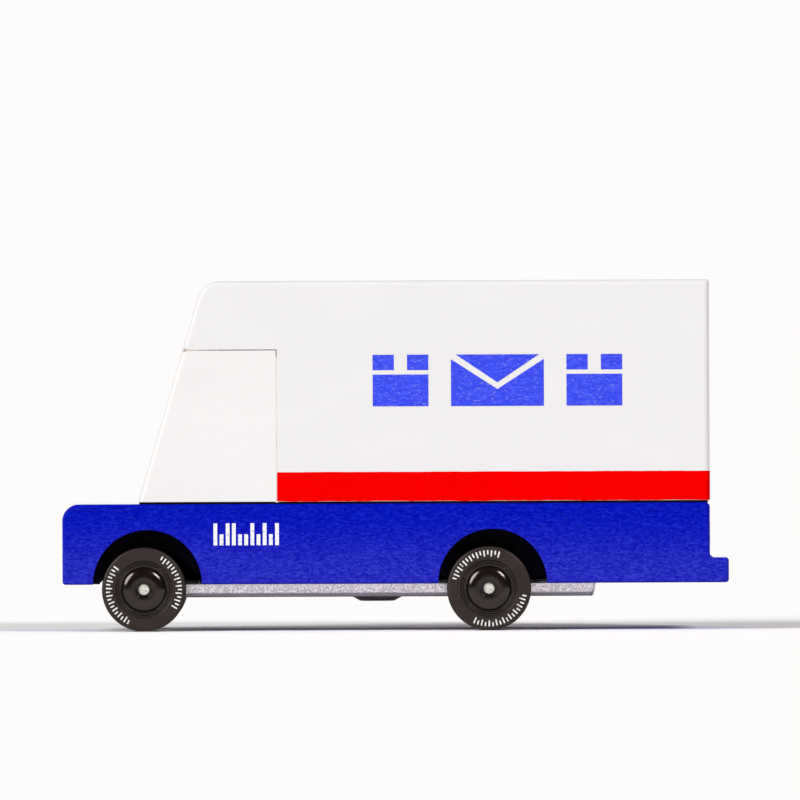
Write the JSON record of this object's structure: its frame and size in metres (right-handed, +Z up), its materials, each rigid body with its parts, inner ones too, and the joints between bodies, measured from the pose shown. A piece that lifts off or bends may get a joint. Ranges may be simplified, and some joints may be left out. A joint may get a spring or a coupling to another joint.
{
  "type": "toy mail delivery truck",
  "caption": "Pocket-size painted wooden toy step van with a cargo box, a slanted cab, an overhanging roof and wheels on steel axles that turn freely.",
  "frame": {"origin": "centre of the footprint on the ground, below the middle of the truck's overall length and width", "axes": "-X towards the nose, +X towards the tail, -Y towards the truck's left side, +Z up"},
  "size_m": [0.106, 0.037, 0.0557],
  "materials": {
    "blue_paint": "satin paint over fine-grained wood",
    "white_paint": "satin paint over fine-grained wood",
    "cream_paint": "satin paint over fine-grained wood",
    "bare_beech": "bare sanded beech",
    "silver_plate": "moulded plastic with a fine silver finish",
    "screw_steel": "zinc plated",
    "nylon": "natural moulded nylon",
    "axle_steel": "bright drawn steel",
    "hub_black": "polished moulded plastic",
    "tyre_rubber": "matt moulded rubber",
    "white_ink": "pad-printed ink",
    "blue_ink": "pad-printed ink",
    "red_ink": "pad-printed ink",
    "red_paint": "satin paint film"
  },
  "bodies": {
    "truck": {"lower_body": "blue_paint", "cargo_box": "white_paint", "cab_block": "cream_paint", "cargo_dowels": "bare_beech", "cab_dowels": "bare_beech", "base_plate": "silver_plate", "plate_screws": "screw_steel", "front_axle_sleeve": "nylon", "rear_axle_sleeve": "nylon", "cargo_stripe": "red_paint", "left_cargo_print": "blue_ink", "right_cargo_print": "blue_ink", "left_fleet_mark": "white_ink", "right_fleet_mark": "white_ink", "headlight_print": "white_ink", "tail_light_print": "red_ink"},
    "front_wheelset": {"front_axle": "axle_steel", "front_left_hub": "hub_black", "front_left_tyre": "tyre_rubber", "front_left_tyre_marks": "white_ink", "front_right_hub": "hub_black", "front_right_tyre": "tyre_rubber", "front_right_tyre_marks": "white_ink"},
    "rear_wheelset": {"rear_axle": "axle_steel", "rear_left_hub": "hub_black", "rear_left_tyre": "tyre_rubber", "rear_left_tyre_marks": "white_ink", "rear_right_hub": "hub_black", "rear_right_tyre": "tyre_rubber", "rear_right_tyre_marks": "white_ink"}
  },
  "joints": [
    {"name": "front_axle_spin", "type": "hinge", "parent": "truck", "child": "front_wheelset", "pos_m": [-0.04005, 0, 0.0067], "axis": [0, 1, 0], "continuous": true},
    {"name": "rear_axle_spin", "type": "hinge", "parent": "truck", "child": "rear_wheelset", "pos_m": [0.01485, 0, 0.0067], "axis": [0, 1, 0], "continuous": true}
  ]
}
